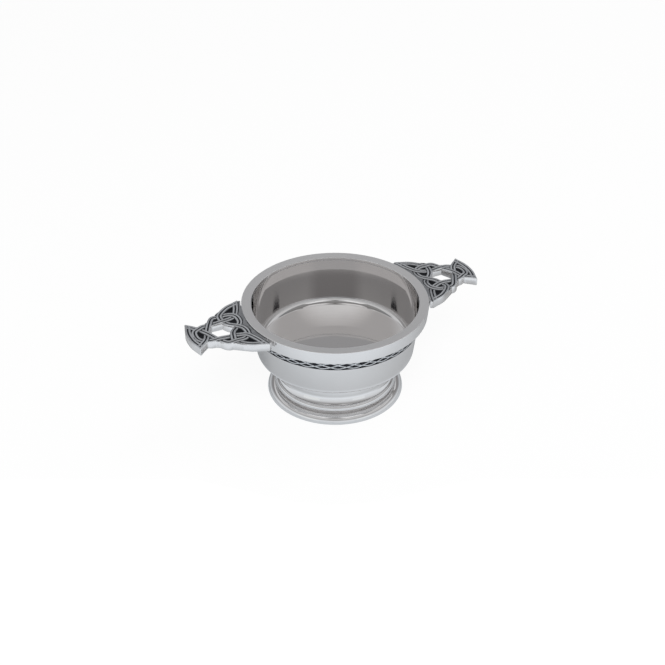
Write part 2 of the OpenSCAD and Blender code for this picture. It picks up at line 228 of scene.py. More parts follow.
def antiqued_pewter(colours):
    """Cast pewter, blackened all over and then polished on its high parts.

    To the eye the walls are bright, the crests of the strands are a satin grey, the plate beside them is
    half dark, and the lines and the ground between the strands are nearly black.
    """
    grain_mm, patch_mm, uneven, black_rough = 0.45, 3, 0.2, 0.55
    material, tree = start_material("antiqued_pewter_cast")
    place = add_node(tree, "ShaderNodeTexCoord").outputs["Object"]
    depth = add_node(tree, "ShaderNodeAttribute", attribute_name="recess").outputs["Fac"]
    # The grain of a sand casting is about 0.2 mm. It is drawn at 0.45 mm, so that it shows.
    grain = noise(tree, place, grain_mm, 3, 0.6)
    patches = noise(tree, place, patch_mm, 3, 0.6)
    wear = add_node(tree, "ShaderNodeMath", {
        0: patches, 1: uneven, 2: -uneven / 2}, operation="MULTIPLY_ADD")
    worn = add_node(tree, "ShaderNodeMath", {0: depth, 1: wear.outputs[0]}, operation="ADD").outputs[0]
    dulled = add_node(tree, "ShaderNodeMapRange", {"Value": worn, "From Min": 0.05, "From Max": 0.25})
    dark = add_node(tree, "ShaderNodeMapRange", {
        "Value": worn, "From Min": 0.38, "From Max": 0.85}, interpolation_type="SMOOTHSTEP")
    bright = blend(tree, patches, opaque(colours.pewter), opaque(colours.haze))
    crest = blend(tree, dulled.outputs[0], bright, opaque(colours.satin))
    ground = blend(tree, patches, opaque(colours.oxide), opaque(colours.bloom))
    tone = blend(tree, dark.outputs[0], crest, ground)
    sheen = add_node(tree, "ShaderNodeMapRange", {"Value": dulled.outputs[0], "To Min": 0.12, "To Max": 0.28})
    rough = add_node(tree, "ShaderNodeMix", {
        "Factor": dark.outputs[0], 2: sheen.outputs[0], 3: black_rough}, data_type="FLOAT")
    bump = add_node(tree, "ShaderNodeBump", {"Height": grain, "Strength": 0.12, "Distance": 0.08 * MM})
    bare_metal(tree, tone, rough, bump)
    return material


def wiped_solder(colours):
    """Soft solder, run into the joint and wiped.

    To the eye it is a thin grey seam, duller than the pewter, with a slight ripple.
    """
    ripple_mm = 1.2
    material, tree = start_material("soft_solder_wiped")
    place = add_node(tree, "ShaderNodeTexCoord").outputs["Object"]
    ripple = noise(tree, place, ripple_mm, 3, 0.5)
    tone = blend(tree, ripple, opaque(colours.solder), opaque(colours.haze))
    rough = add_node(tree, "ShaderNodeMapRange", {"Value": ripple, "To Min": 0.22, "To Max": 0.42})
    bump = add_node(tree, "ShaderNodeBump", {"Height": ripple, "Strength": 0.2, "Distance": 0.1 * MM})
    bare_metal(tree, tone, rough, bump)
    return material


def material_for(context, make):
    """The one material that a function makes, made on first use."""
    name = {polished_pewter: "polished_pewter_buffed", antiqued_pewter: "antiqued_pewter_cast",
            wiped_solder: "soft_solder_wiped"}[make]
    return bpy.data.materials.get(name) or make(context.scene.quaich_colours)


def lines(context):
    """The cup's lines in millimetres, worked out from the sizes in the sidebar."""
    sizes = context.scene.quaich_sizes
    v = SimpleNamespace(**{key: getattr(sizes, key) / MM for key in sizes.__annotations__
                           if key not in ("wall_lean", "bore_lean", "band_repeats")})
    v.repeats = sizes.band_repeats
    v.lean = sizes.wall_lean
    v.bore_lean = sizes.bore_lean
    v.lip_inside = v.rim_radius - v.lip_width
    v.lip_inside_z = v.height - v.lip_fall
    v.floor_z = v.bowl_under + v.floor
    v.rebate_z = v.height - v.rebate
    v.edge_z = v.rebate_z - v.film
    v.collar_low_z = v.height - v.collar_height
    v.across = v.wall / math.cos(v.lean)
    v.gap = v.film / math.cos(v.lean)
    return v


def inside(v, z):
    """Radius of the bowl's inside at a height. The bore behind the collar stands more upright."""
    bore_end = max(z, v.collar_low_z)
    return (v.lip_inside - math.tan(v.bore_lean) * (v.lip_inside_z - bore_end)
            - math.tan(v.lean) * (bore_end - z))


def outside(v, z):
    """Radius of the bowl's outside at a height."""
    return v.lip_inside - math.tan(v.lean) * (v.lip_inside_z - z) + v.across


def collar_side(v, z):
    """Radius of the collar's side at a height."""
    return v.rim_radius - v.collar_draft * (v.height - z) / v.collar_height


def arc(centre, radius, start, end, count):
    """Points on an arc in a profile, angles in degrees."""
    turns = [math.radians(start + (end - start) * i / count) for i in range(count + 1)]
    return [(centre[0] + radius * math.cos(t), centre[1] + radius * math.sin(t), 0) for t in turns]


def rounded(corners, closed):
    """A profile whose corners, each a radius, a height and a rounding, become small arcs.

    A point stands close beside each arc, so that the shading of the flats stays flat.
    """
    beside, degrees_each = 0.05, 12
    made = []
    for i, (x, z, rounding) in enumerate(corners):
        here = Vector((x, z))
        if rounding == 0 or (not closed and i in (0, len(corners) - 1)):
            made.append(here)
            continue
        back = (Vector(corners[i - 1][:2]) - here).normalized()
        on = (Vector(corners[(i + 1) % len(corners)][:2]) - here).normalized()
        half = back.angle(on) / 2
        run = rounding / math.tan(half)
        centre = here + (back + on).normalized() * rounding / math.sin(half)
        first, last = here + back * run, here + on * run
        made += [here + back * (run + beside), first]
        count = max(2, math.ceil(math.degrees(math.pi - 2 * half) / degrees_each))
        for k in range(1, count):
            mix = first.lerp(last, k / count) - centre
            made.append(centre + mix.normalized() * rounding)
        made += [last, here + on * (run + beside)]
    return made


def turned(profile, closed, around=320):
    """Points and faces of a profile turned about the cup's axis. Open profiles end on the axis."""
    points, rings, faces = [], [], []
    for at in profile:
        if at.x < 1e-6:
            rings.append([len(points)] * around)
            points.append((0, 0, at.y))
            continue
        rings.append(list(range(len(points), len(points) + around)))
        for k in range(around):
            t = 2 * math.pi * k / around
            points.append((at.x * math.cos(t), at.x * math.sin(t), at.y))
    pairs = zip(rings, rings[1:] + rings[:1]) if closed else zip(rings, rings[1:])
    for a, b in pairs:
        for k in range(around):
            n = (k + 1) % around
            corners = [a[k], a[n], b[n], b[k]]
            face = list(dict.fromkeys(corners))
            if len(face) > 2:
                faces.append(face)
    return points, faces


def place_piece(name, node, slot, points, faces, material, **layers):
    """Makes a closed mesh of points in millimetres, sets it in the frame and stands it for its node.

    Each layer is a value for every point, which the material reads.
    """
    sharp_from = math.radians(40)
    mesh = bpy.data.meshes.new(name)
    mesh.from_pydata((np.asarray(points, float) * MM).tolist(), [], faces)
    work = bmesh.new()
    work.from_mesh(mesh)
    bmesh.ops.recalc_face_normals(work, faces=work.faces)
    if any(not edge.is_manifold for edge in work.edges):
        raise RuntimeError(f"{name} isn't closed")
    work.to_mesh(mesh)
    work.free()
    mesh.shade_smooth()
    mesh.set_sharp_from_angle(angle=sharp_from)
    mesh.materials.append(material)
    for layer, values in layers.items():
        made = mesh.attributes.new(layer, "FLOAT", "POINT")
        made.data.foreach_set("value", np.asarray(values, np.float32))
    piece = bpy.data.objects.new(name, mesh)
    bpy.context.scene.collection.objects.link(piece)
    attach(piece, "root")
    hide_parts(node)


class QUAICH_OT_bowl(bpy.types.Operator):
    """Turned bowl with a thick flat floor, a rounded corner and a thin leaning wall"""

    bl_idname = "quaich.bowl"
    bl_label = "Turned bowl"

    def execute(self, context):
        v = lines(context)
        lean = math.degrees(v.lean)
        edge_round, bore_round, steps = 0.12, 0.6, 16
        big = v.corner + v.wall
        low, high = v.bowl_under + big, v.floor_z + v.corner
        profile = rounded([
            (0, v.bowl_under, 0),
            *arc((outside(v, low) - big / math.cos(v.lean), low), big, -90, -lean, steps),
            (outside(v, v.edge_z), v.edge_z, edge_round),
            (inside(v, v.edge_z), v.edge_z, edge_round),
            (inside(v, v.collar_low_z), v.collar_low_z, bore_round),
            *arc((inside(v, high) - v.corner / math.cos(v.lean), high), v.corner, -lean, -90, steps),
            (0, v.floor_z, 0)], closed=False)
        place_piece("turned_bowl", "bowl", "polished_pewter", *turned(profile, closed=False),
                    material_for(context, polished_pewter))
        return {"FINISHED"}


class QUAICH_OT_collar(bpy.types.Operator):
    """Turned collar with a flat lip, a side that draws in and a rebate for the bowl's edge"""

    bl_idname = "quaich.collar"
    bl_label = "Turned collar"

    def execute(self, context):
        v = lines(context)
        inner_round, outer_round, low_round, seat_round = 0.3, 0.4, 0.5, 0.08
        worn_depth = 0.1
        profile = rounded([
            (inside(v, v.rebate_z), v.rebate_z, seat_round),
            (v.lip_inside, v.lip_inside_z, inner_round),
            (v.rim_radius, v.height, outer_round),
            (collar_side(v, v.collar_low_z), v.collar_low_z, low_round),
            (outside(v, v.collar_low_z) + v.gap, v.collar_low_z, seat_round),
            (outside(v, v.rebate_z) + v.gap, v.rebate_z, seat_round)], closed=True)
        points, faces = turned(profile, closed=True)
        wear = [float(z > v.lip_inside_z - worn_depth) for _, _, z in points]
        place_piece("turned_collar", "rim_collar", "polished_pewter", points, faces,
                    material_for(context, polished_pewter), wear=wear)
        return {"FINISHED"}


# Strands of the band's plait, which is also how many repeats one strand takes to come back to its place.
PLAIT = 4


def zigzag(x):
    """A wave from -1 to 1 with softened turns, and where in its period each x is."""
    soft, given_back = 0.12, 0.35
    phase = np.mod(x, PLAIT) - PLAIT / 2
    near = 1 - np.abs(phase)
    turn = 1 - np.abs(near)
    eased = np.where(turn < 2 * soft, turn * turn / (4 * soft), turn - soft)
    return np.sign(near) * (1 - soft - eased + soft * given_back), phase


class QUAICH_OT_band(bpy.types.Operator):
    """Patterned strip under the collar: a plait of four strands on a sunk ground"""

    bl_idname = "quaich.band"
    bl_label = "Knot band"

    def execute(self, context):
        v = lines(context)
        columns_each, rows = 48, 44
        columns = v.repeats * columns_each
        margin, flank, dip, crown, border_drop, nowhere = 0.15, 0.12, 0.09, 0.08, 0.12, -9
        crest_tone, dark_from, dark_run = 0.25, 0.7, 0.4
        half = v.band_strand / 2
        tall = (v.band_high - v.band_low) / 2
        rise = tall - half - margin
        middle = (v.band_high + v.band_low) / 2
        z = np.linspace(v.band_low, v.band_high, rows)
        u, y = np.meshgrid(np.arange(columns) / columns_each, z - middle)
        pitch = 2 * math.pi * outside(v, middle) / v.repeats
        slant = math.cos(math.atan(rise / pitch))
        height, sunk = np.full(u.shape, -v.band_relief), np.ones(u.shape)
        for k in range(PLAIT):
            wave, phase = zigzag(u + k)
            off = np.abs(y - wave * rise) * slant
            # A strand goes over and under by turns at the three crossings on each of its slopes.
            level = np.interp(phase, (-2, -1.5, -1, -0.5, 0.5, 1, 1.5, 2), (0.5, 1, 0, 1, 0, 1, 0, 0.5))
            side = np.clip((off - half) / flank, 0, 1)
            here = dip * (level - 1) - crown * (off / half) ** 4 - side * v.band_relief
            here = np.where(off < half + flank, here, nowhere)
            tone = crest_tone + (1 - crest_tone) * np.clip((off / half - dark_from) / dark_run, 0, 1)
            sunk = np.where(here > height, tone, sunk)
            height = np.maximum(height, here)
        border = np.abs(y) > tall - margin
        height = np.where(border, np.maximum(height, -border_drop), height)
        out = v.film + v.band_thickness
        face = outside(v, z)[:, None] + (out + height) / math.cos(v.lean)
        angle = 2 * math.pi * np.arange(columns) / columns
        shell = np.stack([face * np.cos(angle), face * np.sin(angle),
                          np.broadcast_to(z[:, None], face.shape)], axis=-1).reshape(-1, 3)
        back = []
        for edge_z in (v.band_high, v.band_low):
            r = outside(v, edge_z) + v.gap
            back.append(np.stack([r * np.cos(angle), r * np.sin(angle), np.full(columns, edge_z)], axis=-1))
        points = np.concatenate([shell, *back])
        number = np.arange(len(points)).reshape(-1, columns)
        first, second = number, np.roll(number, -1, axis=0)
        faces = np.stack([first, np.roll(first, -1, axis=1), np.roll(second, -1, axis=1), second],
                         axis=-1).reshape(-1, 4)
        recess = np.concatenate([sunk.reshape(-1), np.zeros(2 * columns)])
        place_piece("knot_hoop", "knot_band", "antiqued_pewter", points, faces.tolist(),
                    material_for(context, antiqued_pewter), recess=recess)
        return {"FINISHED"}


class QUAICH_OT_foot(bpy.types.Operator):
    """Turned foot with a bead, a concave waist and a flange, bored through and open underneath"""

    bl_idname = "quaich.foot"
    bl_label = "Turned foot"

    def execute(self, context):
        v = lines(context)
        bead_end, neck_share, steps, inner_steps = 80, 0.45, 40, 32
        spigot_round, flange_round, bore_round = 0.1, 0.3, 0.2
        spigot_z = v.ring_height / 2 + v.film
        bead_x = v.spigot_radius + v.bead_overhang - v.bead
        bead_z = v.ring_height + v.bead_gap + v.bead
        bead_start = -math.degrees(math.acos((v.spigot_radius - bead_x) / v.bead))
        low = bead_z + v.bead * math.sin(math.radians(bead_end))
        top = v.bowl_under - v.film
        high = top - v.foot_wall
        neck_z = low + neck_share * (high - low)
        rise = high - neck_z
        radius = (rise * rise + v.waist_flare * v.waist_flare) / (2 * v.waist_flare)
        centre = (v.neck_radius + radius, neck_z)
        inner = radius + v.foot_wall
        low_reach = math.degrees(math.asin((neck_z - low) / radius))
        high_reach = math.degrees(math.asin(rise / radius))
        in_reach = math.degrees(math.asin(rise / inner))
        flange_inside = centre[0] - inner * math.cos(math.radians(in_reach))
        profile = rounded([
            (v.neck_radius - v.foot_wall, spigot_z, spigot_round),
            (v.spigot_radius, spigot_z, spigot_round),
            *arc((bead_x, bead_z), v.bead, bead_start, bead_end, steps),
            *arc(centre, radius, 180 + low_reach, 180 - high_reach, steps),
            (v.flange_radius, high, flange_round),
            (v.flange_radius, top, flange_round),
            (flange_inside, top, bore_round),
            (flange_inside, high, 0),
            *arc(centre, inner, 180 - in_reach, 180, inner_steps)], closed=True)
        place_piece("turned_foot", "foot", "polished_pewter", *turned(profile, closed=True),
                    material_for(context, polished_pewter))
        return {"FINISHED"}


class QUAICH_OT_base(bpy.types.Operator):
    """Turned base ring with a rounded edge and a rebate for the foot"""

    bl_idname = "quaich.base"
    bl_label = "Base ring"

    def execute(self, context):
        v = lines(context)
        ledge = v.ring_height / 2
        seat = v.spigot_radius + v.film
        bore = v.neck_radius - v.foot_wall
        inner_round, low_round, corner_round, ledge_round, steps = 0.2, 0.45, 0.05, 0.1, 36
        centre = (v.base_radius - v.ring_round, v.ring_height - v.ring_round)
        profile = rounded([
            (bore, 0, inner_round),
            (v.base_radius, 0, low_round),
            *arc(centre, v.ring_round, 0, 90, steps),
            (seat, v.ring_height, inner_round),
            (seat, ledge, corner_round),
            (bore, ledge, ledge_round)], closed=True)
        place_piece("turned_base", "base_ring", "polished_pewter", *turned(profile, closed=True),
                    material_for(context, polished_pewter))
        return {"FINISHED"}


def knot_points(v):
    """Named places that the strands and the edge of a handle run through, on the half with positive y."""
    # Each place is a share of the handle's reach from the rim and of half the root's width.
    corner_share, corner_inset = 0.9, 1.8
    shares = {
        "root_corner": (-0.026, 0.93), "long_side": (0.168, 0.816), "side_crossing": (0.341, 0.561),
        "edge_crossing": (0.331, 0.321), "inner_bend": (0.277, 0.147), "heart_crossing": (0.175, 0),
        "loop_start": (0.105, 0.128), "loop_bulge": (0.087, 0.286), "loop_crossing": (0.115, 0.449),
        "loop_end": (0.205, 0.546), "shoulder": (0.469, 0.551), "neck_crossing": (0.572, 0.321),
        "middle_crossing": (0.682, 0), "fan_crossing": (0.764, 0.25), "root_side": (0.031, 0.684),
        "edge_start": (0.211, 0.362), "edge_middle": (0.455, 0.319), "neck_edge": (0.671, 0.318),
        "inner_arc_side": (0.848, 0.168), "inner_arc_end": (0.873, 0), "outer_arc_side": (0.943, 0.215),
        "root_tip": (-0.086, 1.018), "web_root": (0.22, 0.845), "web_side": (0.342, 0.715),
        "web_shoulder": (0.44, 0.605), "web_neck": (0.59, 0.435), "web_fan": (0.7, 0.345)}
    at = {name: np.array([v.rim_radius + u * v.handle_reach, w * v.root_width / 2])
          for name, (u, w) in shares.items()}
    at["fan_corner"] = np.array([v.rim_radius + corner_share * v.handle_reach,
                                 v.fan_width / 2 - corner_inset])
    at["outer_arc_end"] = np.array([v.rim_radius + v.handle_reach - v.strand / 2, 0])
    return at


FLIP = np.array([1, -1])
STEPS = 16
LONG = ("root_corner long_side side_crossing edge_crossing inner_bend heart_crossing -loop_start "
        "-loop_bulge -loop_crossing -loop_end -side_crossing -shoulder -neck_crossing middle_crossing "
        "fan_crossing fan_corner").split()
EDGE = ("root_corner root_side loop_crossing edge_start edge_crossing edge_middle neck_crossing "
        "neck_edge fan_crossing inner_arc_side").split()
FAN = "fan_corner outer_arc_side outer_arc_end -outer_arc_side -fan_corner".split()
WEB = "web_root web_side web_shoulder web_neck web_fan".split()


def other(name):
    """The same place on the other half of a handle."""
    return name[1:] if name.startswith("-") else "-" + name


def smooth_line(at, names):
    """A smooth line through named places."""
    marks = [at[n.lstrip("-")] * (FLIP if n.startswith("-") else 1) for n in names]
    marks = [2 * marks[0] - marks[1], *marks, 2 * marks[-1] - marks[-2]]
    t = (np.arange(STEPS) / STEPS)[:, None]
    made = []
    for a, b, c, d in zip(marks, marks[1:], marks[2:], marks[3:]):
        made.append(0.5 * (2 * b + (c - a) * t + (2 * a - 5 * b + 4 * c - d) * t ** 2
                           + (3 * b - a - 3 * c + d) * t ** 3))
    return np.concatenate([*made, marks[-2][None]])


def knot_strands(v):
    """The strands of a handle: each a line, its levels along it, and its mitred ends."""
    at = knot_points(v)
    far = [other(n) for n in LONG]
    edge = EDGE + ["inner_arc_end"] + [other(n) for n in reversed(EDGE)]
    end_level = 0.75
    # Crossings in order along each strand, where a strand goes over, 1, or under, 0.
    over = {
        "long": {2: 0, 3: 1, 5: 0, 8: 1, 10: 0, 12: 1, 13: 0, 14: 1},
        "far": {2: 1, 3: 0, 5: 1, 8: 0, 10: 1, 12: 0, 13: 1, 14: 0},
        "edge": {2: 1, 4: 0, 6: 1, 8: 0, 12: 1, 14: 0, 16: 1, 18: 0},
        "fan": {}}
    strands = {}
    for name, names in (("long", LONG), ("far", far), ("edge", edge), ("fan", FAN)):
        line = smooth_line(at, names)
        marks = {0: end_level, **over[name], len(names) - 1: end_level}
        keys = sorted(marks)
        index = np.arange(len(line)) / STEPS
        low = np.clip(np.searchsorted(keys, index, side="right") - 1, 0, len(keys) - 2)
        a, b = np.array(keys)[low], np.array(keys)[low + 1]
        share = (index - a) / (b - a)
        ease = (1 - np.cos(math.pi * share)) / 2
        value = np.array([marks[k] for k in keys])
        strands[name] = SimpleNamespace(line=line, level=value[low] * (1 - ease) + value[low + 1] * ease)
    ends = [("long", 0, "edge", 0), ("far", 0, "edge", -1), ("long", -1, "fan", 0), ("far", -1, "fan", -1)]
    tips = []
    for a, i, b, j in ends:
        tips += [(a, i, b, j), (b, j, a, i)]
    for strand in strands.values():
        strand.tips = []
    for a, i, b, j in tips:
        corner = strands[a].line[i]
        mine = strands[a].line[1 if i == 0 else -2] - corner
        its = strands[b].line[1 if j == 0 else -2] - corner
        mine, its = mine / np.linalg.norm(mine), its / np.linalg.norm(its)
        out = -(mine + its) / np.linalg.norm(mine + its)
        strands[a].tips.append(SimpleNamespace(corner=corner, mine=mine, out=out))
    return strands


def cross(a, b):
    """The turn from one direction to another in the plane."""
    return a[..., 0] * b[..., 1] - a[..., 1] * b[..., 0]


def nearest(points, line):
    """Distance from each point to a line, and where on the line, in steps."""
    tile, tiny, slack = 2, 1e-9, 1e-6
    start, run = line[:-1], line[1:] - line[:-1]
    square = np.maximum((run * run).sum(-1), tiny)
    distance, where = np.empty(len(points)), np.empty(len(points))
    _, group = np.unique(np.floor(points / tile), axis=0, return_inverse=True)
    order = np.argsort(group.reshape(-1), kind="stable")
    for some in np.split(order, np.nonzero(np.diff(group.reshape(-1)[order]))[0] + 1):
        p = points[some]
        low, high = p.min(0), p.max(0)
        # Only the stretches that can be nearest to this tile are measured.
        gap = (low + high) / 2 - start
        gap -= np.clip((gap * run).sum(-1) / square, 0, 1)[:, None] * run
        far = np.hypot(gap[:, 0], gap[:, 1])
        keep = np.nonzero(far <= far.min() + np.hypot(*(high - low)) + slack)[0]
        gap = p[:, None] - start[keep]
        share = np.clip((gap * run[keep]).sum(-1) / square[keep], 0, 1)
        gap -= share[..., None] * run[keep]
        far = (gap * gap).sum(-1)
        best = far.argmin(1)
        row = np.arange(len(p))
        distance[some] = np.sqrt(far[row, best])
        where[some] = keep[best] + share[row, best]
    return distance, where


def strand_fields(points, strands):
    """Each strand's distance and level at the points, with the strands' ends drawn out to mitred tips."""
    tip_reach, nowhere = 7, 99
    fields = {}
    for name, strand in strands.items():
        distance, where = nearest(points, strand.line)
        for tip in strand.tips:
            gap = points - tip.corner
            past = gap @ tip.mine < 0
            mine = cross(tip.out, gap) * cross(tip.out, tip.mine) >= 0
            near = np.abs(cross(tip.mine, gap))
            beyond = past & (np.hypot(gap[:, 0], gap[:, 1]) < tip_reach)
            distance = np.where(beyond, np.where(mine, near, nowhere), distance)
        level = np.interp(where, np.arange(len(strand.line)), strand.level)
        fields[name] = (distance, level)
    return fields


def polygon_depth(points, loop):
    """How far each point lies inside a closed outline. Points outside get less than nothing."""
    ring = np.concatenate([loop, loop[:1]])
    distance, _ = nearest(points, ring)
    odd = np.zeros(len(points), bool)
    for a, b in zip(ring, ring[1:]):
        if a[1] == b[1]:
            continue
        spans = (a[1] > points[:, 1]) != (b[1] > points[:, 1])
        odd ^= spans & (points[:, 0] < (b[0] - a[0]) * (points[:, 1] - a[1]) / (b[1] - a[1]) + a[0])
    return np.where(odd, distance, -distance)


def between(line, i, j):
    """The stretch of a line from one named place to another."""
    return line[i * STEPS:j * STEPS]


def plate_outlines(v, strands):
    """Outlines of the plate with its filled notches, of its opening, and of the sunk ground."""
    long, far, edge, fan = (strands[n].line for n in ("long", "far", "edge", "fan"))
    fan_end = fan[2 * STEPS:2 * STEPS + 1]
    at = knot_points(v)
    # The root touches the collar in its middle, and a narrow slot parts its corners from the rim.
    touch_share, heel_share = 0.8, 0.99
    touch, heel_radius = touch_share * v.root_width / 2, v.rim_radius + v.root_slot
    ends = [math.degrees(math.asin(y / heel_radius)) for y in (touch, heel_share * v.root_width / 2)]
    heel = np.array(arc((0, 0), heel_radius, *ends, STEPS))[:, :2]
    half = np.concatenate([
        [[v.lip_inside, touch]], heel, [at["root_tip"]], between(long, 0, 1), smooth_line(at, WEB),
        between(long, 14, 15), between(fan, 0, 2)])
    plate = np.concatenate([half, fan_end, (half * FLIP)[::-1]])
    side = np.concatenate([between(long, 3, 5)[::-1], between(edge, 4, 6), between(far, 12, 13)])
    opening = np.concatenate([
        long[5 * STEPS:5 * STEPS + 1], side, long[13 * STEPS:13 * STEPS + 1], (side * FLIP)[::-1]])
    inner = np.concatenate([
        between(far, 5, 8), between(edge, 0, 2)[::-1], between(long, 0, 2), between(far, 10, 12),
        between(edge, 6, 8), between(long, 14, 15), between(fan, 0, 2)])
    ground = np.concatenate([inner, fan_end, (inner * FLIP)[::-1]])
    return plate, opening, ground


def knot_depth(v, outlines, fields, points):
    """How far each point lies inside a handle's outline."""
    closest = np.min([distance for distance, _ in fields.values()], axis=0)
    plate = np.minimum(polygon_depth(points, outlines[0]), -polygon_depth(points, outlines[1]))
    return np.maximum(v.strand / 2 - closest, plate)


def knot_relief(v, fields, ground):
    """Height of a handle's top face under its highest strands, and how dark each point is left."""
    half, line_half = v.strand / 2, v.groove / 2
    ridge = (half + line_half) / 2
    skirt, skirt_in, crease, beside_run, nowhere = 0.5, 0.06, 0.26, 0.4, -9
    ridge_drop, line_drop, under_drop, crease_drop, web_drop, beside_drop = 0.3, 0.1, 0.42, 0.5, 0.25, 0.5
    # A tone is 0 where the polish is full and 1 where the metal is left black.
    satin, web_tone, line_tone, edge_tone = 0.3, 0.6, 0.72, 0.6
    dark_from, dark_run, clearly_over = 0.7, 0.25, 0.3
    # Outside the ground the plate stands nearly level with the strands and is left half dark, with a
    # black line along each strand.
    beside = np.clip(1 - (np.min([d for d, _ in fields.values()], axis=0) - half) / beside_run, 0, 1)
    height = np.where(ground, -v.recess, -web_drop - beside_drop * beside)
    sunk = np.where(ground, 1.0, web_tone + (1 - web_tone) * beside)
    for name, (distance, level) in fields.items():
        across = np.clip(np.abs(distance - ridge) / (half - ridge), 0, 1)
        drop = ridge_drop * across ** 3
        drop = np.where(distance < line_half, ridge_drop + line_drop, drop)
        drop += np.clip((distance - half + skirt_in) / skirt, 0, 1) * (v.recess - ridge_drop)
        tone = np.clip((across - dark_from) / dark_run, 0, 1)
        tone *= np.where(distance < ridge, line_tone, edge_tone)
        tone = np.maximum(tone, np.clip((distance - half) / (skirt / 2), 0, 1))
        for rival, (its, its_level) in fields.items():
            if rival != name:
                edge = np.clip((half + crease - its) / crease, 0, 1) * (its_level > level + clearly_over)
                drop += crease_drop * edge
                tone = np.maximum(tone, edge)
        here = np.where(distance < half + skirt, -drop - (1 - level) * under_drop, nowhere)
        sunk = np.where(here > height, satin + (1 - satin) * tone, sunk)
        height = np.maximum(height, here)
    return height, sunk


def filled(v, clear, low, high):
    """A square mesh that fills an outline, and the points on its edge drawn out onto the outline."""
    held_from, most_move, least_slope, passes, small = 0.35 * v.step, 1.5 * v.step, 0.3, 3, 0.01
    nx, ny = (int(c) + 1 for c in np.ceil((high - low) / v.step))
    gx, gy = np.meshgrid(np.arange(nx), np.arange(ny), indexing="ij")
    grid = low + np.stack([gx, gy], axis=-1).reshape(-1, 2) * v.step
    held = (clear(grid) > held_from).reshape(nx, ny)
    cell = held[:-1, :-1] & held[1:, :-1] & held[:-1, 1:] & held[1:, 1:]
    # Cells that meet only at a corner would pinch the mesh, so one of them goes.
    while True:
        a, b, c, d = cell[:-1, :-1], cell[1:, :-1], cell[:-1, 1:], cell[1:, 1:]
        pinch = (a & d & ~b & ~c) | (b & c & ~a & ~d)
        if not pinch.any():
            break
        for i, j in zip(*np.nonzero(pinch)):
            cell[i:i + 2, j] = False
    i, j = np.nonzero(cell)
    corner = np.stack([i * ny + j, (i + 1) * ny + j, (i + 1) * ny + j + 1, i * ny + j + 1], axis=-1)
    used, quads = np.unique(corner, return_inverse=True)
    quads = quads.reshape(-1, 4)
    flat = grid[used]
    sides = np.concatenate([quads[:, [k, (k + 1) % 4]] for k in range(4)])
    there, back = sides @ [len(used), 1], sides @ [1, len(used)]
    border = sides[~np.isin(there, back)]
    rim = np.unique(border)
    for _ in range(passes):
        p = flat[rim]
        here = clear(p)
        slope = np.stack([clear(p + [small, 0]) - here, clear(p + [0, small]) - here], axis=-1) / small
        size = np.maximum((slope * slope).sum(-1), least_slope)
        flat[rim] = p - np.clip(here / size, -most_move, most_move)[:, None] * slope
    return flat, quads, border, rim


def handle_mesh(v):
    """Points, faces and sunk shares of the handle that points along X."""
    top_round, under_round, polish_from, polish_run, near_root = 0.22, 0.35, 0.12, 0.2, 0.02
    root_room, side_room, tip_room = 4, 1, 0.5
    strands = knot_strands(v)
    outlines = plate_outlines(v, strands)
    root = collar_side(v, v.handle_high) + v.film

    def clear(points):
        depth = knot_depth(v, outlines, strand_fields(points, strands), points)
        return np.minimum(depth, np.hypot(points[:, 0], points[:, 1]) - root)

    flat, quads, border, rim = filled(
        v, clear, np.array([v.rim_radius - root_room, -v.root_width / 2 - side_room]),
        np.array([v.rim_radius + v.handle_reach + tip_room, v.root_width / 2 + side_room]))
    fields = strand_fields(flat, strands)
    depth = knot_depth(v, outlines, fields, flat)
    height, sunk = knot_relief(v, fields, polygon_depth(flat, outlines[2]) > 0)
    # The edges of the casting are rounded, and the polish reaches over them.
    sunk *= np.clip((depth - polish_from) / polish_run, 0, 1)
    worn = []
    for size in (top_round, under_round):
        short = np.clip(size - depth, 0, size)
        worn.append(size - np.sqrt(size ** 2 - short ** 2))
    top = np.column_stack([flat, v.handle_high + height - worn[0]])
    under = np.column_stack([flat, v.handle_low + worn[1]])
    # The root follows the slope of the collar's side.
    radius = np.hypot(flat[:, 0], flat[:, 1])
    at_root = rim[radius[rim] < root + near_root]
    slide = (collar_side(v, v.handle_low) + v.film) / radius[at_root]
    under[at_root, :2] *= slide[:, None]
    count = len(flat)
    walls = np.column_stack([border[:, 1], border[:, 0], border[:, 0] + count, border[:, 1] + count])
    faces = np.concatenate([quads, quads[:, ::-1] + count, walls])
    return np.concatenate([top, under]), faces.tolist(), np.concatenate([sunk, np.zeros(count)])


class QUAICH_OT_handles(bpy.types.Operator):
    """Two cast handles: knotwork of double ridged strands that pass over and under on a sunk plate"""

    bl_idname = "quaich.handles"
    bl_label = "Cast handles"

    def execute(self, context):
        points, faces, sunk = handle_mesh(lines(context))
        material = material_for(context, antiqued_pewter)
        place_piece("cast_handle_right", "right_handle", "antiqued_pewter", points, faces, material,
                    recess=sunk)
        place_piece("cast_handle_left", "left_handle", "antiqued_pewter", points * [-1, -1, 1], faces,
                    material, recess=sunk)
        return {"FINISHED"}


class QUAICH_OT_solder(bpy.types.Operator):
    """Films of solder in the joints, kept as the frame has them"""

    bl_idname = "quaich.solder"
    bl_label = "Solder films"

    def execute(self, context):
        material = material_for(context, wiped_solder)
        for name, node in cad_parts.items():
            if name.endswith("_solder"):
                node.data.materials.clear()
                node.data.materials.append(material)
        return {"FINISHED"}


def seen_ray(tree):
    """Output that is 1 for rays from the camera, from metal and through glass."""
    path = add_node(tree, "ShaderNodeLightPath").outputs
    pair = add_node(tree, "ShaderNodeMath", {
        0: path["Is Camera Ray"], 1: path["Is Glossy Ray"]}, operation="ADD", use_clamp=True)
    return add_node(tree, "ShaderNodeMath", {
        0: pair.outputs[0], 1: path["Is Transmission Ray"]}, operation="ADD", use_clamp=True).outputs[0]


